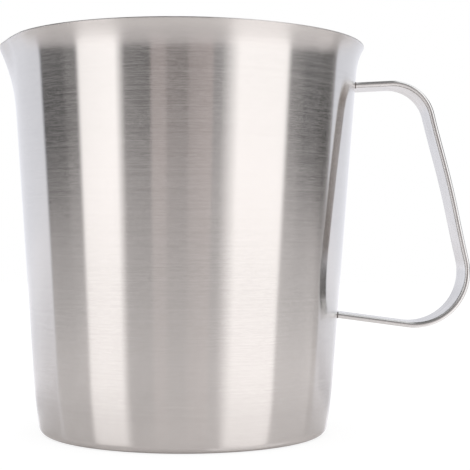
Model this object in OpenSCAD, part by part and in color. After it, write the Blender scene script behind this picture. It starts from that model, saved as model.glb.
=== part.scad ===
// Steel measuring jug: a drawn, tapered cup with a flared rim and a pour lip, and a bent strap
// handle welded to the wall. The origin is the centre of the flat underside, +Z is up, the
// handle points to +X and the pour lip to -X. Millimetres.

/* [Body] */
// Height from the underside to the rim
jug_h = 160; // [150:1:220]
// Outer diameter of the straight wall, carried down to the base plane
base_d = 121; // [100:1:140]
// Outer diameter of the straight wall, carried up to the rim plane
mouth_d = 144; // [130:1:170]
// Thickness of the drawn sheet
sheet_t = 0.7; // [0.5:0.1:1.2]
// Outer radius of the corner between the base and the wall
heel_r = 3.4; // [2:0.2:8]
// Height over which the wall draws in towards the base
draw_h = 23; // [10:1:35]
// How far the wall has drawn in at the base plane
draw_in = 1.1; // [0.2:0.1:3]

/* [Rim and pour lip] */
// Height of the flared band under the rim
flare_h = 9.2; // [6:0.2:14]
// How far the rim stands out from the straight wall line
flare_out = 2.6; // [1:0.1:5]
// How late the flare curls out: 1 is a plain cone, 2 a parabola
flare_curl = 1.5; // [1:0.1:3]
// How far the tip of the pour lip stands out from the rim circle
lip_reach = 3.5; // [1:0.1:5]
// Depth of the pour lip below the rim
lip_depth = 19; // [12:1:30]
// Radius of the round channel that forms the pour lip
lip_r = 35; // [20:1:50]

/* [Graduations] */
// Volume between two lines, in millilitres
mark_step_ml = 100; // [50:50:500]
// Every how many lines a long one comes
marks_per_long = 5; // [2:1:10]
// Length of a short line round the wall
mark_short = 9; // [5:1:15]
// Length of a long line round the wall
mark_long = 18; // [10:1:30]
// Width of a line, up the wall
mark_w = 0.6; // [0.3:0.1:1]
// Depth of a line in the inner wall
mark_depth = 0.15; // [0.05:0.05:0.3]
// Direction of the column of lines round the wall, in degrees from the handle
mark_turn = 90; // [30:5:150]

/* [Handle] */
// Width of the strap
strap_w = 18; // [10:1:24]
// Thickness of the strap
strap_t = 2.3; // [1.4:0.1:3]
// Drop from the rim to the middle of the upper arm, at the wall
arm_drop = 15.7; // [12:0.1:30]
// Height between the middles of the two arms, at the wall
arm_span = 95.5; // [85:0.1:105]
// How far the handle reaches out from the rim circle
handle_out = 44.3; // [38:0.1:60]
// Rise of the upper arm away from the wall, in degrees
upper_rise = 3.4; // [0:0.1:10]
// Fall of the lower arm away from the wall, in degrees
lower_fall = 7.4; // [0:0.1:15]
// Lean of the grip from upright, in degrees
grip_lean = 13.7; // [0:0.1:18]
// How far the grip bows out, halfway between its bends
grip_bow = 0.6; // [0:0.1:2]
// Radius of the upper bend, at mid thickness
upper_bend_r = 16.6; // [8:0.1:20]
// Radius of the lower bend, at mid thickness
lower_bend_r = 22.1; // [10:0.1:26]

/* [Welds] */
// Thickness of the seam between a strap end and the wall
weld_t = 0.5; // [0.3:0.1:1]
// How far the seam stands proud round the strap
weld_proud = 0.2; // [0.1:0.1:0.5]

/* [Hidden] */
$fn = 128;
heel_steps = 8;
draw_steps = 5;
flare_steps = 8;
bend_steps = 24;
bow_steps = 8;
cubic_mm_per_ml = 1000;
overrun = 1;

flare_z = jug_h - flare_h;
rim_r = mouth_d / 2 + flare_out;
wall_slope = (mouth_d - base_d) / 2 / jug_h;

// Outer and inner radius of the sheet at a height
function wall_r(z) = base_d / 2 + wall_slope * z;
function drawn(z) = z < draw_h ? draw_in * pow(1 - z / draw_h, 2) : 0;
function flared(z) = z > flare_z ? flare_out * pow((z - flare_z) / flare_h, flare_curl) : 0;
function draw_slope(z) = z < draw_h ? 2 * draw_in / draw_h * (1 - z / draw_h) : 0;
function flare_slope(z) =
    z > flare_z ? flare_out * flare_curl / flare_h * pow((z - flare_z) / flare_h, flare_curl - 1) : 0;
function slope(z) = wall_slope + draw_slope(z) + flare_slope(z);
function outer_r(z) = wall_r(z) - drawn(z) + flared(z);
function inner_r(z) = outer_r(z) - sheet_t * sqrt(1 + pow(slope(z), 2));

// The heel arc runs from the flat base to where it lies along the drawn-in wall
heel_lean = atan(slope(heel_r));
heel_top = heel_r * (1 - sin(heel_lean));
heel_x = outer_r(heel_top) - heel_r * cos(heel_lean);
function heel_arc(r) = [
    for (i = [0 : heel_steps])
        let (a = -90 + (90 - heel_lean) * i / heel_steps)
        [heel_x + r * cos(a), heel_r + r * sin(a)]
];

// Heights at which the two curved bands of the wall have their points
wall_heights = concat(
    [for (i = [1 : draw_steps]) heel_top + (draw_h - heel_top) * i / draw_steps],
    [for (i = [0 : flare_steps]) flare_z + flare_h * i / flare_steps]
);

// Half section of the cup's outside, stood off by a clearance, and of its inside
function outside(clear) = concat(
    [[0, 0]],
    [for (p = heel_arc(heel_r)) p + [clear, 0]],
    [for (z = wall_heights) [outer_r(z) + clear, z]],
    [[0, jug_h]]
);
function inside() = concat(
    [[0, sheet_t]],
    heel_arc(heel_r - sheet_t),
    [for (z = wall_heights) [inner_r(z), z]],
    [[inner_r(jug_h) + slope(jug_h) * overrun, jug_h + overrun], [0, jug_h + overrun]]
);

// The pour lip's channel leans out from the wall line to the tip of the lip
lip_tip = rim_r + lip_reach;
lip_lean = atan((lip_tip - wall_r(jug_h - lip_depth)) / lip_depth);

// Height of the liquid's surface for a volume: the inside is a cone above the drawn-in band
inner_foot_r = base_d / 2 - sheet_t;
foot_loss = 2 * PI * inner_foot_r * draw_in * draw_h / 3;
function cone_volume(z) =
    PI / (3 * wall_slope) * (pow(inner_foot_r + wall_slope * z, 3) - pow(inner_foot_r, 3));
function level(ml) =
    let (volume = ml * cubic_mm_per_ml + foot_loss + cone_volume(sheet_t))
    (pow(pow(inner_foot_r, 3) + 3 * wall_slope * volume / PI, 1 / 3) - inner_foot_r) / wall_slope;
full_ml = (cone_volume(flare_z) - cone_volume(sheet_t) - foot_loss) / cubic_mm_per_ml;
mark_count = floor(full_ml / mark_step_ml);

// Middle line of the handle, in the plane of X and Z
upper_z = jug_h - arm_drop;
lower_z = upper_z - arm_span;
lower_bend = let (x = rim_r + handle_out - strap_t / 2 - lower_bend_r)
    [x, lower_z - tan(lower_fall) * (x - wall_r(lower_z)) + lower_bend_r / cos(lower_fall)];
grip_normal = [cos(grip_lean), sin(grip_lean)];
arm_level = upper_z - tan(upper_rise) * wall_r(upper_z) - upper_bend_r / cos(upper_rise);
grip_offset = grip_normal * lower_bend + lower_bend_r - upper_bend_r;
upper_bend_x = (grip_offset - grip_normal[1] * arm_level) / (grip_normal[0] + grip_normal[1] * tan(upper_rise));
upper_bend = [upper_bend_x, arm_level + tan(upper_rise) * upper_bend_x];
upper_normal = [-sin(upper_rise), cos(upper_rise)];
lower_normal = [-sin(lower_fall), -cos(lower_fall)];
upper_arm_end = upper_bend + upper_bend_r * upper_normal;
lower_arm_end = lower_bend + lower_bend_r * lower_normal;

// A strap's end is cut to the round wall, so its arm starts under the wall's bulge
function root_x(z) = sqrt(pow(wall_r(z), 2) - pow(strap_w / 2 + weld_proud, 2)) - overrun;
upper_root = let (x = root_x(upper_z)) [x, upper_z + tan(upper_rise) * (x - wall_r(upper_z))];
lower_root = let (x = root_x(lower_z)) [x, lower_z - tan(lower_fall) * (x - wall_r(lower_z))];

// One side of the strap, at a distance out from its middle line, and its whole outline
function bend(centre, r, first, last) = [
    for (i = [0 : bend_steps])
        let (a = first + (last - first) * i / bend_steps)
        centre + r * [cos(a), sin(a)]
];
function grip(first, last) = [
    for (i = [1 : bow_steps - 1])
        let (along = i / bow_steps)
        first + along * (last - first) + grip_bow * pow(sin(180 * along), 2) * grip_normal
];
function strap_side(out) = concat(
    [upper_root + out * upper_normal],
    bend(upper_bend, upper_bend_r + out, 90 + upper_rise, grip_lean),
    grip(upper_bend + (upper_bend_r + out) * grip_normal, lower_bend + (lower_bend_r + out) * grip_normal),
    bend(lower_bend, lower_bend_r + out, grip_lean, -90 - lower_fall),
    [lower_root + out * lower_normal]
);
function reversed(points) = [for (i = [len(points) - 1 : -1 : 0]) points[i]];
strap_outline = concat(strap_side(strap_t / 2), reversed(strap_side(-strap_t / 2)));

module cup_outside(clear) {
    rotate_extrude() polygon(outside(clear));
}

module lip_channel(r) {
    translate([-lip_tip, 0, jug_h])
        rotate([0, -lip_lean, 0])
        translate([lip_r, 0, -lip_depth / cos(lip_lean)])
        cylinder(r = r, h = 2 * lip_depth / cos(lip_lean));
}

module graduation(index) {
    z = level(index * mark_step_ml);
    length = index % marks_per_long == 0 ? mark_long : mark_short;
    span = length / inner_r(z) * 180 / PI;
    rotate([0, 0, mark_turn - span / 2])
        rotate_extrude(angle = span)
        translate([inner_r(z) - overrun, z - mark_w / 2])
        square([overrun + mark_depth, mark_w]);
}

module body_shell() {
    color("silver") difference() {
        intersection() {
            union() {
                cup_outside(0);
                lip_channel(lip_r);
            }
            cylinder(h = jug_h, r = lip_tip + overrun);
        }
        rotate_extrude() polygon(inside());
        lip_channel(lip_r - sheet_t);
        for (i = [1 : mark_count]) graduation(i);
    }
}

// A shape drawn in the plane of X and Z, as wide as the strap
module across(width) {
    rotate([90, 0, 0]) linear_extrude(width, center = true) children();
}

module handle_strap() {
    color("lightgray") difference() {
        across(strap_w) polygon(strap_outline);
        cup_outside(weld_t);
    }
}

// A seam fills the gap between a strap end and the wall, and stands proud of the strap
module seam(root, end, normal) {
    half = strap_t / 2 + weld_proud;
    color("dimgray") difference() {
        intersection() {
            across(strap_w + 2 * weld_proud)
                polygon([root + half * normal, end + half * normal, end - half * normal, root - half * normal]);
            cup_outside(weld_t);
        }
        cup_outside(0);
    }
}

module upper_weld() {
    seam(upper_root, upper_arm_end, upper_normal);
}

module lower_weld() {
    seam(lower_root, lower_arm_end, lower_normal);
}

body_shell();
handle_strap();
upper_weld();
lower_weld();
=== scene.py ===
import math

import bpy
from mathutils import Matrix, Vector


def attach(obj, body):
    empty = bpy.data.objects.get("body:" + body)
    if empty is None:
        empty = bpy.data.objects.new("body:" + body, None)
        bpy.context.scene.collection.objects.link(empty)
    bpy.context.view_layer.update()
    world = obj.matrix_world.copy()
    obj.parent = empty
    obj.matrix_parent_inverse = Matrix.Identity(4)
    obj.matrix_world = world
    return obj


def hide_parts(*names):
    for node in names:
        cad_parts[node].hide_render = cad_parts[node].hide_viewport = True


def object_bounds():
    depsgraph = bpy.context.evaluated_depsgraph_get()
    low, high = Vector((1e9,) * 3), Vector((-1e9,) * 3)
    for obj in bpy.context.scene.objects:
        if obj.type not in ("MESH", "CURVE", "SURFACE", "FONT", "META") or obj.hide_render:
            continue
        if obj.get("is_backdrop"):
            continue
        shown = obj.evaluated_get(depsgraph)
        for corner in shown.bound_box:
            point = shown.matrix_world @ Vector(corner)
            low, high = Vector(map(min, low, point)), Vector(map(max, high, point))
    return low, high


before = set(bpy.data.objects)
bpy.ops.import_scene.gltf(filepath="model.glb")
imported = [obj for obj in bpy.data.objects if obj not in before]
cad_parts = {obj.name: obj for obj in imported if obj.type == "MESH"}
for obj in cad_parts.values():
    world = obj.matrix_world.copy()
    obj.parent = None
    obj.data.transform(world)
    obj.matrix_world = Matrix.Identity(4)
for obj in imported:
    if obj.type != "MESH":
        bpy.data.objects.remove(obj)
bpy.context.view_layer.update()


# Cup
# One disc of stainless steel sheet, deep drawn to a tapered cup with a flat base. It is spun and
# brushed round its axis on a lathe, then the rim is flared and deburred and the pour lip pressed
# out opposite the handle.
jug_h = 0.160
base_r = 0.0605
mouth_r = 0.0720
sheet_t = 0.0007
heel_r = 0.0034
draw_h, draw_in = 0.023, 0.0011
flare_h, flare_out, flare_curl = 0.0122, 0.0026, 2.6
lip_out, lip_depth, lip_curl = 0.0060, 0.030, 2.0
lip_half_turn = math.radians(17)
pinch_in, pinch_turn, pinch_half_turn = 0.0004, math.radians(24), math.radians(10)
lip_dip = 0.0004

rim_brush_start, rim_brush_full, rim_brush_coarser = 0.011, 0.005, 0.09

wall_slope = (mouth_r - base_r) / jug_h
centre_r = 0.0005
wall_turns = 288
base_steps, heel_steps, foot_steps, wall_steps, lip_steps, rim_steps = 12, 12, 10, 20, 30, 8


def share(value):
    return min(1.0, max(0.0, value))


def eased(value):
    value = share(value)
    return value * value * (3 - 2 * value)


def wall_r(z):
    return base_r + wall_slope * z


def drawn(z):
    return draw_in * share(1 - z / draw_h) ** 2


def flared(z):
    return flare_out * share(1 - (jug_h - z) / flare_h) ** flare_curl


def outer_r(z):
    return wall_r(z) - drawn(z) + flared(z)


def lean(z):
    step = 1e-6
    return math.atan((outer_r(z) - outer_r(z - step)) / step)


def inner_r(z):
    return outer_r(z) - sheet_t / math.cos(lean(z))


def lip_bump(turn):
    """Share of the lip's full height at a turn from its middle."""
    return math.cos(math.pi / 2 * share(turn / lip_half_turn)) ** 2


def lip_lift(z, turn):
    """How far the pour lip stands out from the flared wall, at a turn from its middle."""
    up = share(1 - (jug_h - z) / lip_depth)
    pressed = lip_out * up ** lip_curl - flared(z)
    pinch = math.cos(math.pi / 2 * share(abs(turn - pinch_turn) / pinch_half_turn)) ** 2
    return max(0.0, pressed) * lip_bump(turn) - pinch_in * eased(up) * pinch


def steps(first, last, count):
    return [first + (last - first) * i / count for i in range(count + 1)]


def skin(name, rings, finishes, finish_of=lambda row, column: 0):
    """One closed mesh through rings of points, capped at both ends with a fan."""
    points = [p for ring in rings for p in ring]
    size = len(rings[0])
    faces, cells = [], []
    for row in range(len(rings) - 1):
        for i in range(size):
            j = (i + 1) % size
            low, high = row * size, (row + 1) * size
            faces.append((low + i, low + j, high + j, high + i))
            cells.append((row, i))
    for ring, row, flip in ((rings[0], 0, True), (rings[-1], len(rings) - 1, False)):
        points.append(sum((Vector(p) for p in ring), Vector()) / size)
        centre = len(points) - 1
        for i in range(size):
            j = (i + 1) % size
            edge = (row * size + i, row * size + j)
            faces.append((edge[1], edge[0], centre) if flip else (edge[0], edge[1], centre))
            cells.append((min(row, len(rings) - 2), i))
    mesh = bpy.data.meshes.new(name)
    mesh.from_pydata(points, [], faces)
    for finish in finishes:
        mesh.materials.append(finish)
    for index, (face, cell) in enumerate(zip(mesh.polygons, cells)):
        face.use_smooth = index < len(cells) - 2 * size
        face.material_index = finish_of(*cell)
    piece = bpy.data.objects.new(name, mesh)
    bpy.context.scene.collection.objects.link(piece)
    return piece


def node(tree, kind, inputs=None, **settings):
    made = tree.nodes.new(kind)
    for name, value in settings.items():
        setattr(made, name, value)
    for socket, value in (inputs or {}).items():
        if isinstance(value, bpy.types.NodeSocket):
            tree.links.new(value, made.inputs[socket])
        else:
            made.inputs[socket].default_value = value
    return made


def new_finish(name):
    """An empty material: its tree, its shader and its object coordinates."""
    material = bpy.data.materials.new(name)
    material.use_nodes = True
    tree = material.node_tree
    tree.nodes.clear()
    shader = node(tree, "ShaderNodeBsdfPrincipled")
    node(tree, "ShaderNodeOutputMaterial", {"Surface": shader.outputs["BSDF"]})
    place = node(tree, "ShaderNodeTexCoord").outputs["Object"]
    return material, tree, shader, place


def scratches(tree, place, stretch, detail=2.0):
    """Noise drawn out along the brushing: stretch is its frequency along each axis, per metre."""
    drawn_out = node(tree, "ShaderNodeVectorMath", {0: place, 1: stretch}, operation="MULTIPLY")
    return node(
        tree, "ShaderNodeTexNoise",
        {"Vector": drawn_out.outputs["Vector"], "Scale": 1.0, "Detail": detail, "Roughness": 0.6},
    ).outputs["Fac"]


def between(tree, value, low, high, first, last):
    """Maps value from low..high to first..last, held at the ends."""
    return node(
        tree, "ShaderNodeMapRange",
        {"Value": value, "From Min": low, "From Max": high, "To Min": first, "To Max": last},
    ).outputs["Result"]


def blended(tree, fac, first, last):
    """Mix of two colours, each given as numbers or as the output of a node."""
    mixed = node(tree, "ShaderNodeMix", data_type="RGBA")
    tree.links.new(fac, mixed.inputs["Factor"])
    for name, colour in (("A", first), ("B", last)):
        if isinstance(colour, bpy.types.NodeSocket):
            tree.links.new(colour, mixed.inputs[name])
        else:
            mixed.inputs[name].default_value = (*colour, 1)
    return mixed.outputs["Result"]


def sum_of(tree, *weighted):
    """Sum of values times their weights."""
    total = 0.0
    for value, weight in weighted:
        made = node(tree, "ShaderNodeMath", {0: value, 1: weight, 2: total}, operation="MULTIPLY_ADD")
        total = made.outputs["Value"]
    return total


def brushed_round(name, dull, bright, smooth, rough, fine, relief, anisotropy, scatter):
    """Steel brushed round the jug's axis: long lines, short hairlines and a fine grain.

    The lines are fine per metre, and the bright ones scatter a part of the light. Towards the rim
    the brushing gets coarser.
    """
    material, tree, shader, place = new_finish(name)
    axes = node(tree, "ShaderNodeSeparateXYZ", {"Vector": place}).outputs
    flat = node(tree, "ShaderNodeVectorMath", {0: place, 1: (1, 1, 0)}, operation="MULTIPLY")
    from_axis = node(
        tree, "ShaderNodeVectorMath", {0: flat.outputs["Vector"]}, operation="LENGTH").outputs["Value"]
    along_section = sum_of(tree, (axes["Z"], 1.0), (from_axis, 1.0))
    lathe = node(
        tree, "ShaderNodeCombineXYZ", {"X": axes["X"], "Y": axes["Y"], "Z": along_section}).outputs["Vector"]
    long_lines = scratches(tree, lathe, (8.0, 8.0, fine * 0.85))
    hairlines = scratches(tree, lathe, (220.0, 220.0, fine))
    grain = scratches(tree, lathe, (900.0, 900.0, fine))
    brushing = sum_of(tree, (long_lines, 0.3), (hairlines, 0.4), (grain, 0.3))
    line = between(tree, brushing, 0.42, 0.58, 0.0, 1.0)
    tree.links.new(blended(tree, line, dull, bright), shader.inputs["Base Color"])
    along_wall = between(tree, line, 0.0, 1.0, smooth, rough)
    near_rim = between(
        tree, axes["Z"], jug_h - rim_brush_start, jug_h - rim_brush_full, 0.0, rim_brush_coarser)
    tree.links.new(sum_of(tree, (along_wall, 1.0), (near_rim, 1.0)), shader.inputs["Roughness"])
    tree.links.new(between(tree, line, 0.0, 1.0, 1.0, 1.0 - scatter), shader.inputs["Metallic"])
    bump = node(tree, "ShaderNodeBump", {"Height": brushing, "Strength": relief, "Distance": 0.00007})
    tree.links.new(bump.outputs["Normal"], shader.inputs["Normal"])
    round_axis = node(tree, "ShaderNodeTangent", direction_type="RADIAL", axis="Z")
    tree.links.new(round_axis.outputs["Tangent"], shader.inputs["Tangent"])
    shader.inputs["Anisotropic"].default_value = anisotropy
    shader.inputs["Anisotropic Rotation"].default_value = 0.25
    return material


brushed_wall = brushed_round(
    "brushed_wall", dull=(0.626, 0.616, 0.611), bright=(0.680, 0.670, 0.665),
    smooth=0.13, rough=0.155, fine=3000.0, relief=0.05, anisotropy=1.0, scatter=0.085)
deburred_rim = brushed_round(
    "deburred_rim", dull=(0.50, 0.49, 0.485), bright=(0.66, 0.65, 0.645),
    smooth=0.24, rough=0.36, fine=3000.0, relief=0.05, anisotropy=0.5, scatter=0.1)
satin_inside = brushed_round(
    "satin_inside", dull=(0.58, 0.57, 0.565), bright=(0.69, 0.68, 0.675),
    smooth=0.26, rough=0.36, fine=1600.0, relief=0.1, anisotropy=0.9, scatter=0.1)
spun_base = brushed_round(
    "spun_base", dull=(0.58, 0.57, 0.565), bright=(0.70, 0.69, 0.685),
    smooth=0.28, rough=0.38, fine=1500.0, relief=0.05, anisotropy=0.8, scatter=0.1)

heel_lean = lean(heel_r)
heel_top = heel_r * (1 - math.sin(heel_lean))
heel_x = outer_r(heel_top) - heel_r * math.cos(heel_lean)
heel_angles = steps(-math.pi / 2, -heel_lean, heel_steps)
inside_heel_r = heel_r - sheet_t
rim_lean = lean(jug_h)
rim_edge_r = sheet_t / 2
edge_z = jug_h - rim_edge_r - rim_edge_r * math.sin(rim_lean)
edge_mid_r = outer_r(edge_z) - rim_edge_r * math.cos(rim_lean)
wall_heights = (
    steps(heel_top, draw_h, foot_steps)[1:] + steps(draw_h, jug_h - lip_depth, wall_steps)[1:]
    + steps(jug_h - lip_depth, edge_z, lip_steps)[1:]
)

OUTSIDE, RIM, INSIDE, BASE = range(4)
half_section = [(r, 0.0, BASE) for r in steps(centre_r, heel_x, base_steps)[:-1]]
for angle in heel_angles:
    half_section.append((heel_x + heel_r * math.cos(angle), heel_r + heel_r * math.sin(angle), OUTSIDE))
half_section += [(outer_r(z), z, OUTSIDE) for z in wall_heights]
for angle in steps(0, math.pi, rim_steps)[1:]:
    out = rim_edge_r * math.cos(angle)
    up = rim_edge_r * math.sin(angle)
    half_section.append((
        edge_mid_r + out * math.cos(rim_lean) + up * math.sin(rim_lean),
        jug_h - rim_edge_r - out * math.sin(rim_lean) + up * math.cos(rim_lean),
        RIM,
    ))
half_section += [(inner_r(z), z, INSIDE) for z in reversed(wall_heights[:-2])]
for angle in reversed(heel_angles):
    half_section.append((
        heel_x + inside_heel_r * math.cos(angle), heel_r + inside_heel_r * math.sin(angle), INSIDE))
half_section += [(r, sheet_t, BASE) for r in steps(heel_x, centre_r, base_steps)[1:]]

cup_rings = []
for r, z, _ in half_section:
    ring = []
    for i in range(wall_turns):
        angle = 2 * math.pi * i / wall_turns
        turn = abs(angle - math.pi)
        reach = r + lip_lift(z, turn)
        dip = lip_dip * lip_bump(turn) * share(1 - (jug_h - z) / lip_depth) ** lip_curl
        ring.append((reach * math.cos(angle), reach * math.sin(angle), z - dip))
    cup_rings.append(ring)

cup = skin(
    "cup", cup_rings, [brushed_wall, deburred_rim, satin_inside, spun_base],
    lambda row, column: half_section[row + 1][2])
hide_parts("body_shell")
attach(cup, "root")


# Volume lines and numbers
# A column of lines on the inner wall, one for every 100 ml, with a long line and its number at
# every 500 ml. They are etched, which leaves them dark and matt, and stand a hair off the wall.
line_w, short_line, long_line = 0.0006, 0.009, 0.018
etch_t = 0.00004
line_parts = 14
line_count, line_ml, lines_per_long = 20, 100, 5
numbered_ml = (500, 1000, 1500, 2000)
cubic_metres_per_ml = 1e-6
number_size, number_gap = 0.0062, 0.0026
column_turn = math.pi / 2
foot_r = base_r - sheet_t
foot_loss = 2 * math.pi * foot_r * draw_in * draw_h / 3


def cone_volume(z):
    return math.pi / (3 * wall_slope) * ((foot_r + wall_slope * z) ** 3 - foot_r ** 3)


def level(volume):
    """Height of the surface of a volume of liquid, in cubic metres."""
    total = volume + foot_loss + cone_volume(sheet_t)
    return ((foot_r ** 3 + 3 * wall_slope * total / math.pi) ** (1 / 3) - foot_r) / wall_slope


def on_inner_wall(across, z, off):
    """A point on the inner wall; across runs to the right for someone who looks at the column."""
    r = inner_r(z) - off
    angle = column_turn - across / inner_r(z)
    return Vector((r * math.cos(angle), r * math.sin(angle), z))


etched, tree, shader, place = new_finish("etched_marks")
mottle = scratches(tree, place, (1800.0, 1800.0, 1800.0), 3.0)
tree.links.new(
    blended(tree, mottle, (0.055, 0.053, 0.052), (0.13, 0.125, 0.12)), shader.inputs["Base Color"])
tree.links.new(between(tree, mottle, 0.3, 0.7, 0.5, 0.7), shader.inputs["Roughness"])
shader.inputs["Metallic"].default_value = 0.7

points, faces = [], []
for index in range(1, line_count + 1):
    z = level(index * line_ml * cubic_metres_per_ml)
    length = short_line if index % lines_per_long else long_line
    first = len(points)
    for across in steps(-length / 2, length / 2, line_parts):
        for side, off in ((-1, 0), (1, 0), (1, etch_t), (-1, etch_t)):
            points.append(on_inner_wall(across, z + side * line_w / 2, off))
    for part in range(line_parts):
        low, high = first + 4 * part, first + 4 * part + 4
        for k in range(4):
            faces.append((low + k, high + k, high + (k + 1) % 4, low + (k + 1) % 4))
    last = first + 4 * line_parts
    faces += [(first, first + 1, first + 2, first + 3), (last + 3, last + 2, last + 1, last)]
mesh = bpy.data.meshes.new("volume_lines")
mesh.from_pydata(points, [], faces)
mesh.materials.append(etched)
volume_lines = bpy.data.objects.new("volume_lines", mesh)
bpy.context.scene.collection.objects.link(volume_lines)
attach(volume_lines, "root")

for millilitres in numbered_ml:
    text = bpy.data.curves.new("number", "FONT")
    text.body = str(millilitres)
    text.size = number_size
    text.extrude = etch_t / 2
    text.align_y = "CENTER"
    drawn_text = bpy.data.objects.new("number", text)
    bpy.context.scene.collection.objects.link(drawn_text)
    bpy.context.view_layer.update()
    graph = bpy.context.evaluated_depsgraph_get()
    mesh = bpy.data.meshes.new_from_object(drawn_text.evaluated_get(graph))
    bpy.data.objects.remove(drawn_text)
    z = level(millilitres * cubic_metres_per_ml)
    for v in mesh.vertices:
        across = long_line / 2 + number_gap + v.co.x
        v.co = on_inner_wall(across, z + v.co.y, v.co.z + etch_t)
    mesh.materials.clear()
    mesh.materials.append(etched)
    number = bpy.data.objects.new(f"number_{millilitres}", mesh)
    bpy.context.scene.collection.objects.link(number)
    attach(number, "root")


# Handle
# One flat strap of stainless steel with rolled edges, bent twice, and brushed along its length.
# Both ends are cut to the round of the wall and welded to it.
strap_w, strap_t, strap_edge_r = 0.018, 0.0023, 0.0011
arm_drop, arm_span, handle_out = 0.0157, 0.0955, 0.0443
upper_rise, lower_fall, grip_lean = math.radians(3.4), math.radians(7.4), math.radians(13.7)
upper_bend_r, lower_bend_r = 0.0166, 0.0221
grip_bow = 0.0006
weld_t = 0.0003
end_hold = 0.00005
upper_arm_parts, lower_arm_parts = (0.15, 0.4, 0.7), (0.3, 0.6, 0.85)
upper_bend_steps, grip_steps, lower_bend_steps = 32, 16, 40

rim_r = mouth_r + flare_out
upper_z = jug_h - arm_drop
lower_z = upper_z - arm_span
lower_bend_x = rim_r + handle_out - strap_t / 2 - lower_bend_r
lower_bend = Vector((
    lower_bend_x,
    lower_z - math.tan(lower_fall) * (lower_bend_x - wall_r(lower_z))
    + lower_bend_r / math.cos(lower_fall),
))
grip_normal = Vector((math.cos(grip_lean), math.sin(grip_lean)))
arm_level = upper_z - math.tan(upper_rise) * wall_r(upper_z) - upper_bend_r / math.cos(upper_rise)
grip_offset = grip_normal.dot(lower_bend) + lower_bend_r - upper_bend_r
upper_bend_x = (
    (grip_offset - grip_normal.y * arm_level) / (grip_normal.x + grip_normal.y * math.tan(upper_rise)))
upper_bend = Vector((upper_bend_x, arm_level + math.tan(upper_rise) * upper_bend_x))


def rounded_strip(width, thick, edge_r, edge_parts=9):
    """Section of the strap, as (across, out) points.

    A point near each end of a flat keeps it flat.
    """
    hold = edge_r / 25
    section = []
    for corner, (side, face) in enumerate(((1, 1), (-1, 1), (-1, -1), (1, -1))):
        middle = Vector((side * (width / 2 - edge_r), face * (thick / 2 - edge_r)))
        turns = [
            Vector((math.cos(angle), math.sin(angle)))
            for angle in steps(corner * math.pi / 2, (corner + 1) * math.pi / 2, edge_parts)]
        section.append(middle + edge_r * turns[0] - hold * turns[-1])
        section += [middle + edge_r * turn for turn in turns]
        section.append(middle + edge_r * turns[-1] - hold * turns[0])
    return section


def arm_point(arm_z, rise, across, out, gap):
    """Where a line along an arm, at that place in its section, meets the wall stood off by gap."""
    x = wall_r(arm_z)
    for _ in range(6):
        z = arm_z + math.tan(rise) * (x - wall_r(arm_z)) + out / math.cos(rise)
        x = math.sqrt((wall_r(z) + gap) ** 2 - across ** 2)
    return Vector((x, across, z))


section = rounded_strip(strap_w, strap_t, strap_edge_r)
end_gaps = (weld_t, weld_t + end_hold)
upper_turn, lower_turn = math.pi / 2 + upper_rise, -math.pi / 2 - lower_fall
stations = []
upper_root = Vector((wall_r(upper_z), upper_z))
upper_arm_end = upper_bend + upper_bend_r * Vector((math.cos(upper_turn), math.sin(upper_turn)))
for part in upper_arm_parts:
    stations.append((upper_root.lerp(upper_arm_end, part), upper_turn))
for angle in steps(upper_turn, grip_lean, upper_bend_steps):
    stations.append((upper_bend + upper_bend_r * Vector((math.cos(angle), math.sin(angle))), angle))
grip_top = stations[-1][0]
grip_foot = lower_bend + lower_bend_r * grip_normal
grip_length = (grip_foot - grip_top).length
for part in steps(0, 1, grip_steps)[1:-1]:
    bow = grip_bow * math.sin(math.pi * part) ** 2
    bow_slope = grip_bow * math.pi / grip_length * math.sin(2 * math.pi * part)
    stations.append((
        grip_top.lerp(grip_foot, part) + bow * grip_normal, grip_lean + math.atan(bow_slope)))
for angle in steps(grip_lean, lower_turn, lower_bend_steps):
    stations.append((lower_bend + lower_bend_r * Vector((math.cos(angle), math.sin(angle))), angle))
lower_arm_end = stations[-1][0]
lower_root = Vector((wall_r(lower_z), lower_z))
for part in lower_arm_parts:
    stations.append((lower_arm_end.lerp(lower_root, part), lower_turn))

strap_rings = []
for gap in end_gaps:
    strap_rings.append([arm_point(upper_z, upper_rise, across, out, gap) for across, out in section])
for middle, angle in stations:
    strap_rings.append([
        (middle.x + out * math.cos(angle), across, middle.y + out * math.sin(angle))
        for across, out in section])
for gap in reversed(end_gaps):
    strap_rings.append([arm_point(lower_z, -lower_fall, across, -out, gap) for across, out in section])


def lengthwise_of(tree):
    """Coordinates along the strap and round its section, in metres."""
    return node(tree, "ShaderNodeUVMap", uv_map="strap").outputs["UV"]


satin_strap, tree, shader, place = new_finish("satin_strap")
lengthwise = lengthwise_of(tree)
hairlines = scratches(tree, lengthwise, (60.0, 2200.0, 0.0))
strokes = scratches(tree, lengthwise, (20.0, 700.0, 0.0))
wear = scratches(tree, place, (90.0, 90.0, 90.0), 4.0)
brushing = sum_of(tree, (hairlines, 0.5), (strokes, 0.3), (wear, 0.2))
line = between(tree, brushing, 0.38, 0.62, 0.0, 1.0)
tree.links.new(
    blended(tree, line, (0.64, 0.63, 0.625), (0.74, 0.73, 0.725)), shader.inputs["Base Color"])
tree.links.new(between(tree, line, 0.0, 1.0, 0.23, 0.17), shader.inputs["Roughness"])
bump = node(tree, "ShaderNodeBump", {"Height": brushing, "Strength": 0.06, "Distance": 0.00005})
tree.links.new(bump.outputs["Normal"], shader.inputs["Normal"])
along_strap = node(tree, "ShaderNodeTangent", direction_type="UV_MAP", uv_map="strap")
tree.links.new(along_strap.outputs["Tangent"], shader.inputs["Tangent"])
shader.inputs["Metallic"].default_value = 1.0
shader.inputs["Anisotropic"].default_value = 0.7
shader.inputs["Anisotropic Rotation"].default_value = 0.25

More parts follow.
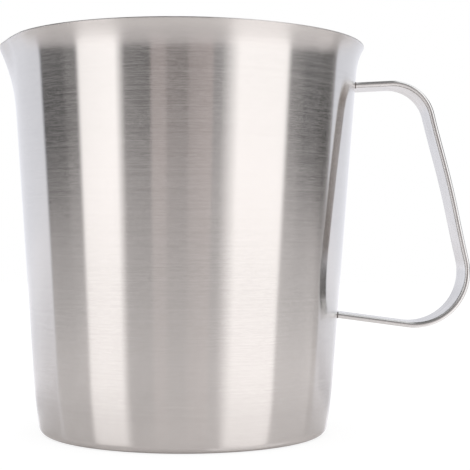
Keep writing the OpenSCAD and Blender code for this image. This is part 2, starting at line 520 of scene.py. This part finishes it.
polished_edge, tree, shader, place = new_finish("polished_edge")
nicks = scratches(tree, lengthwise_of(tree), (150.0, 2500.0, 0.0), 4.0)
tree.links.new(
    blended(tree, nicks, (0.70, 0.71, 0.72), (0.78, 0.79, 0.80)), shader.inputs["Base Color"])
tree.links.new(between(tree, nicks, 0.3, 0.7, 0.16, 0.24), shader.inputs["Roughness"])
shader.inputs["Metallic"].default_value = 1.0

FACE, EDGE = range(2)


def strap_finish(row, column):
    """The finish of a strip of the strap between two neighbouring points of its section."""
    close = 1e-6
    ends = (section[column], section[(column + 1) % len(section)])
    return FACE if all(abs(abs(out) - strap_t / 2) < close for across, out in ends) else EDGE


handle = skin("handle", strap_rings, [satin_strap, polished_edge], strap_finish)
ring_place = [0.0]
for a, b in zip(strap_rings, strap_rings[1:]):
    ring_place.append(ring_place[-1] + (Vector(b[0]) - Vector(a[0])).length)
around_place = [0.0]
for a, b in zip(section, section[1:] + section[:1]):
    around_place.append(around_place[-1] + (b - a).length)
unrolled = handle.data.uv_layers.new(name="strap")
ring_size = len(section)
for face in handle.data.polygons:
    corners = [handle.data.loops[i].vertex_index for i in face.loop_indices]
    wraps = {v % ring_size for v in corners} >= {0, ring_size - 1}
    for loop, v in zip(face.loop_indices, corners):
        row, column = divmod(min(v, len(strap_rings) * ring_size - 1), ring_size)
        if wraps and column == 0:
            column = ring_size
        unrolled.data[loop].uv = (ring_place[row], around_place[column])
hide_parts("handle_strap")
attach(handle, "root")


# Weld seams
# A thin bead round each strap end, fused to the wall and the strap. It is left as welded, so it
# is uneven and darkened by the heat.
bead_proud = 0.00015
bead_gaps = (-0.00005, 0.00004, 0.00012, 0.0002, 0.00028, 0.00034)
ripple_share, ripple_step = 0.2, 2.4

heat_tinted, tree, shader, place = new_finish("heat_tinted_seam")
scale = scratches(tree, place, (900.0, 900.0, 900.0), 4.0)
tree.links.new(
    blended(tree, between(tree, scale, 0.35, 0.65, 0.0, 1.0), (0.09, 0.075, 0.07), (0.27, 0.24, 0.23)),
    shader.inputs["Base Color"])
tree.links.new(between(tree, scale, 0.3, 0.7, 0.35, 0.6), shader.inputs["Roughness"])
bump = node(tree, "ShaderNodeBump", {"Height": scale, "Strength": 0.3, "Distance": 0.0001})
tree.links.new(bump.outputs["Normal"], shader.inputs["Normal"])
shader.inputs["Metallic"].default_value = 0.9

for name, node_name, arm_z, rise in (
    ("upper_seam", "upper_weld", upper_z, upper_rise),
    ("lower_seam", "lower_weld", lower_z, -lower_fall),
):
    bead_rings = []
    for row, gap in enumerate(bead_gaps):
        swell = bead_proud * math.sin(math.pi * (row + 0.5) / len(bead_gaps))
        ring = []
        for i, (across, out) in enumerate(section):
            ripple = swell * (1 - ripple_share + ripple_share * math.sin(ripple_step * i + row))
            grow_across = math.copysign(ripple, across)
            grow_out = math.copysign(ripple, out)
            ring.append(arm_point(arm_z, rise, across + grow_across, out + grow_out, gap))
        bead_rings.append(ring)
    seam = skin(name, bead_rings, [heat_tinted])
    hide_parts(node_name)
    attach(seam, "root")


# Table
# A round of white acrylic that the jug stands on, shiny enough for the steel to show the lights in
# it. Light and shade are also painted on it for the steel to mirror: its glow is painted light that
# changes with distance and bearing, with a painted dark ring at the jug's foot, and a painted shadow
# lies behind the jug. It fades out towards its edge, so that the white of the room takes over with
# no line, and the camera sees it as a white sweep with the jug's soft shadow.
table_r, fade_start, fade_end = 1.8, 1.2, 1.75
camera_turn = math.radians(1)
near_end, far_start = 0.10, 0.24
table_sides, table_drop = 96, 0.00005
# table_shaded is the colour of a painted shadow behind the jug, and the shade numbers place it
table_white, table_shaded = (0.72, 0.68, 0.66), (0.34, 0.28, 0.24)
near_x, near_glow = (0.01, 0.10), (0.32, 0.36)
lip_side_x, lip_side_share = (-0.05, 0.0), (0.88, 1.0)
shade_y, shade_reach, shade_lean, shade_share = (0.02, 0.07), (0.13, 0.21), 0.4, 0.35

painted_light_pool = (
    # distance from the jug's axis, share of the painted glow there; the first stops paint a dark ring at the
    # jug's foot
    (0.0575, 0.0), (0.0585, 0.65), (0.061, 1.0), (0.075, 1.05), (0.10, 1.0),
    (0.20, 1.16), (0.30, 0.74), (0.45, 0.5), (0.65, 1.15), (1.0, 2.0),
)
painted_light_round = (
    # bearing from the camera, painted glow of the table there, away from the jug
    (-180, 0.17), (-140, 0.19), (-124, 0.36), (-104, 0.35), (-99, 0.40), (-92, 0.31),
    (-74, 0.31), (-68, 0.405), (-48, 0.44), (-40, 0.33), (-20, 0.34), (-14, 0.29),
    (18, 0.315), (34, 0.45), (66, 0.435), (76, 0.40), (88, 0.43), (96, 0.54),
    (104, 0.54), (109, 0.32), (124, 0.34), (140, 0.19), (180, 0.17),
)


def bearing_of(tree, direction):
    """The bearing of a direction from the camera, right of it above 0.5, as a share of a turn."""
    turned = node(
        tree, "ShaderNodeVectorRotate",
        {"Vector": direction, "Angle": math.pi / 2 + camera_turn}, rotation_type="Z_AXIS").outputs["Vector"]
    return node(tree, "ShaderNodeTexGradient", {"Vector": turned}, gradient_type="RADIAL").outputs["Fac"]


def ramp(tree, value, stops):
    """A colour that changes with a value: stops are pairs of a place and the colour there."""
    made = node(tree, "ShaderNodeValToRGB", {"Fac": value})
    elements = made.color_ramp.elements
    while len(elements) < len(stops):
        elements.new(1.0)
    for element, (place, colour) in zip(elements, stops):
        element.position = place
        element.color = (*colour, 1)
    return made.outputs["Color"]


def product(tree, *values):
    total = values[0]
    for value in values[1:]:
        total = node(tree, "ShaderNodeMath", {0: total, 1: value}, operation="MULTIPLY").outputs["Value"]
    return total


acrylic, tree, shader, place = new_finish("white_acrylic")
from_axis = node(tree, "ShaderNodeVectorMath", {0: place}, operation="LENGTH").outputs["Value"]
side = node(tree, "ShaderNodeSeparateXYZ", {"Vector": place}).outputs
pool = ramp(tree, from_axis, [(distance, [light] * 3) for distance, light in painted_light_pool])
# A painted shadow behind the jug, leaning towards the handle: it darkens the base colour and dims the painted
# glow
shade_distance = sum_of(tree, (from_axis, 1.0), (side["X"], -shade_lean))
shade = product(
    tree, between(tree, side["Y"], *shade_y, 0.0, 1.0), between(tree, shade_distance, *shade_reach, 1.0, 0.0))
# Painted light near the jug: a little brighter towards the handle, dimmer towards the lip and in the painted
# shadow
near = product(
    tree,
    between(tree, side["X"], *near_x, *near_glow),
    between(tree, side["X"], *lip_side_x, *lip_side_share),
    between(tree, shade, 0.0, 1.0, 1.0, shade_share),
)
# Painted light and shade that change with bearing, away from the jug
far = ramp(
    tree, bearing_of(tree, place), [(0.5 + angle / 360, [light] * 3) for angle, light in painted_light_round])
spread = node(tree, "ShaderNodeMix", {
    "Factor": between(tree, from_axis, near_end, far_start, 0.0, 1.0), "A": near, "B": far}).outputs["Result"]
# Painted light as emission and painted shadow in the base colour, seen only in the steel's reflections
glow = product(tree, pool, spread)
tree.links.new(blended(tree, shade, table_white, table_shaded), shader.inputs["Base Color"])
tree.links.new(glow, shader.inputs["Emission Strength"])
shader.inputs["Emission Color"].default_value = (1, 0.92, 0.90, 1)
shader.inputs["Coat Weight"].default_value = 1.0
shader.inputs["Coat Roughness"].default_value = 0.1
shader.inputs["Roughness"].default_value = 0.12
shader.inputs["IOR"].default_value = 3.0
sweep = node(tree, "ShaderNodeBsdfPrincipled", {
    "Base Color": (0.25, 0.25, 0.25, 1), "Roughness": 0.9, "Specular IOR Level": 0.0,
    "Emission Color": (1, 1, 1, 1), "Emission Strength": 0.82})
fade = between(tree, from_axis, fade_start, fade_end, 1.0, 0.0)
tree.links.new(fade, shader.inputs["Alpha"])
tree.links.new(fade, sweep.inputs["Alpha"])
seen = node(tree, "ShaderNodeLightPath").outputs["Is Camera Ray"]
by_ray = node(tree, "ShaderNodeMixShader", {0: seen, 1: shader.outputs["BSDF"], 2: sweep.outputs["BSDF"]})
tree.links.new(by_ray.outputs["Shader"], tree.nodes["Material Output"].inputs["Surface"])

mesh = bpy.data.meshes.new("table")
edge_angles = [2 * math.pi * i / table_sides for i in range(table_sides)]
edge_points = [(table_r * math.cos(angle), table_r * math.sin(angle), 0.0) for angle in edge_angles]
mesh.from_pydata(edge_points, [], [list(range(table_sides))])
mesh.materials.append(acrylic)
table = bpy.data.objects.new("table", mesh)
bpy.context.scene.collection.objects.link(table)
table.location.z = -table_drop
table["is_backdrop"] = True


# Studio
# A white room, seen white by the camera and by matt surfaces. The steel mirrors it as it stands
# round the jug: white behind, a tall soft light on each side, dark flags beside them and the dim,
# warm end of the room behind the camera.
lamp, warm, grey, cool = (1, 0.965, 0.945), (1, 0.865, 0.83), (1, 0.965, 0.96), (0.97, 0.98, 1.04)
room_round = (
    # bearing from the camera where it starts and ends, brightness there, tint
    (-180, -109, 0.97, 0.97, cool),   # white backdrop
    (-106, -86, 0.062, 0.032, cool),  # left flag
    (-82, -74, 0.15, 0.19, grey),     # its edge, lit by the soft light
    (-71, -45, 1.40, 1.52, lamp),     # left soft light
    (-38, -22, 0.195, 0.07, grey),    # gap
    (-20, -12, 0.43, 0.44, warm),     # end wall, left of the camera
    (-10, 2, 0.265, 0.215, warm),     # camera and its stand
    (4, 18, 0.37, 0.49, warm),        # end wall, right of the camera
    (20, 24, 0.30, 0.36, grey),       # edge of the end wall
    (36.5, 70, 1.48, 1.47, lamp),     # right soft light
    (74, 83, 0.27, 0.16, grey),       # right flag, lit by the soft light
    (87, 99.5, 0.063, 0.04, cool),    # right flag
    (103, 110.5, 0.01, 0.02, grey),   # its shaded edge
    (116, 116.4, 0.27, 0.30, grey),   # white backdrop in its shadow
    (119.6, 180, 0.97, 0.97, cool),   # white backdrop
)
ceiling_front, ceiling_back = (0.25, 0.243, 0.238), (0.20, 0.195, 0.19)
skylight = (1.15, 1.14, 1.13)
wall_tint = (1, 0.975, 0.96)
# Below, a turn is a share of a full turn from the camera, and x, y and z are a direction's parts
front_turn, front_top, side_top = (0.075, 0.10), 0.25, 0.40
backdrop_y, backdrop_lower = (0.28, 0.36), -0.28
backdrop_mid_turn, backdrop_mid_higher = (0.435, 0.46), 0.22
right_light_start, right_light_end, right_light_higher = (0.58, 0.605), (0.70, 0.72), 0.15
top_stretch, top_fade = 1.4, 0.10
beside_turn = (0.18, 0.21)
side_wall_start, side_wall_end, side_wall_rest = (0.065, 0.15), (0.20, 0.30), 0.4
side_wall_x, side_wall_light = (-0.5, 0.5), (0.60, 0.74)
end_wall_start, end_wall_end, end_wall_rest = (0.10, 0.19), (0.21, 0.32), 0.15
end_wall_light = 0.64
skylight_x, skylight_z, skylight_edge = (0.18, 0.24), (0.45, 0.65), (0.74, 0.84)
skylight_lean_x, skylight_lean_y = 0.6, 0.35
ceiling_y = (-0.4, 0.1)

studio = bpy.data.worlds.new("studio")
studio.use_nodes = True
tree = studio.node_tree
tree.nodes.clear()
looking = node(tree, "ShaderNodeTexCoord").outputs["Generated"]
bearing = bearing_of(tree, looking)
panels = ramp(tree, bearing, [
    (0.5 + angle / 360, [light * part for part in tint])
    for start, end, first, last, tint in room_round for angle, light in ((start, first), (end, last))])
way = node(tree, "ShaderNodeSeparateXYZ", {"Vector": looking}).outputs
from_camera = sum_of(tree, (bearing, 1.0), (-0.5, 1.0))
off_camera = node(tree, "ShaderNodeMath", {0: from_camera}, operation="ABSOLUTE").outputs["Value"]
on_right_light = product(
    tree,
    between(tree, bearing, *right_light_start, 0.0, 1.0),
    between(tree, bearing, *right_light_end, 1.0, 0.0),
)
panel_top = sum_of(
    tree,
    (between(tree, off_camera, *front_turn, front_top, side_top), 1.0),
    (between(tree, way["Y"], *backdrop_y, 0.0, backdrop_lower), 1.0),
    (between(tree, off_camera, *backdrop_mid_turn, 0.0, backdrop_mid_higher), 1.0),
    (on_right_light, right_light_higher),
)
ceiling_start = sum_of(tree, (panel_top, top_stretch), (top_fade, 1.0))
side_wall = product(
    tree,
    between(tree, way["Z"], *side_wall_start, 0.0, 1.0),
    between(tree, way["Z"], *side_wall_end, 1.0, side_wall_rest),
    between(tree, way["X"], *side_wall_x, *side_wall_light),
)
end_wall = product(
    tree,
    between(tree, way["Z"], *end_wall_start, 0.0, end_wall_light),
    between(tree, way["Z"], *end_wall_end, 1.0, end_wall_rest),
)
beside = between(tree, off_camera, *beside_turn, 0.0, 1.0)
wall = node(tree, "ShaderNodeMix", {"Factor": beside, "A": end_wall, "B": side_wall}).outputs["Result"]
above_flags = node(tree, "ShaderNodeMix", {"Factor": 1.0}, data_type="RGBA", blend_type="LIGHTEN")
tree.links.new(panels, above_flags.inputs["A"])
tree.links.new(blended(tree, wall, (0, 0, 0), wall_tint), above_flags.inputs["B"])
skylight_slant = sum_of(
    tree, (way["Z"], 1.0), (way["X"], skylight_lean_x), (way["Y"], skylight_lean_y))
to_skylight = product(
    tree,
    between(tree, way["X"], *skylight_x, 0.0, 1.0),
    between(tree, way["Z"], *skylight_z, 0.0, 1.0),
    between(tree, skylight_slant, *skylight_edge, 0.0, 1.0),
)
ceiling = blended(tree, between(tree, way["Y"], *ceiling_y, 0.0, 1.0), ceiling_front, ceiling_back)
top = blended(tree, to_skylight, ceiling, skylight)
to_ceiling = between(tree, way["Z"], panel_top, ceiling_start, 0.0, 1.0)
mirrored = blended(tree, to_ceiling, above_flags.outputs["Result"], top)
ray = node(tree, "ShaderNodeLightPath").outputs
room = blended(tree, ray["Is Glossy Ray"], (1, 1, 1), mirrored)
room_light = node(tree, "ShaderNodeBackground", {"Color": room, "Strength": 1.0})
node(tree, "ShaderNodeOutputWorld", {"Surface": room_light.outputs["Background"]})
studio.cycles.sampling_method = "NONE"
bpy.context.scene.world = studio


# Camera
# It stands level with the middle of the jug, 0.5 m away and all but square to the handle's
# plane, with a long lens and a slight roll.
camera_place = (0.0038, -0.5083, 0.0801)
frame_px, focal_px = 470, 1210
aim_right_px, aim_up_px = 20, 4.14
roll = 0.0058

aim_right = math.atan(aim_right_px / focal_px)
aim_up = math.atan(aim_up_px / focal_px)
heading = camera_turn + aim_right
forward = Vector((
    math.sin(heading) * math.cos(aim_up), math.cos(heading) * math.cos(aim_up), math.sin(aim_up)))
level_right = forward.cross(Vector((0, 0, 1))).normalized()
level_up = level_right.cross(forward)
right = level_right * math.cos(roll) + level_up * math.sin(roll)
up = level_up * math.cos(roll) - level_right * math.sin(roll)
lens = bpy.data.cameras.new("camera")
lens.sensor_width = 36.0
lens.lens = lens.sensor_width * focal_px / frame_px
lens.clip_start = 0.01
camera = bpy.data.objects.new("camera", lens)
turned = Matrix((right, up, -forward)).transposed().to_4x4()
camera.matrix_world = Matrix.Translation(camera_place) @ turned
bpy.context.scene.collection.objects.link(camera)
bpy.context.scene.camera = camera
bpy.context.scene.view_settings.view_transform = "Standard"

low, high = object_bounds()
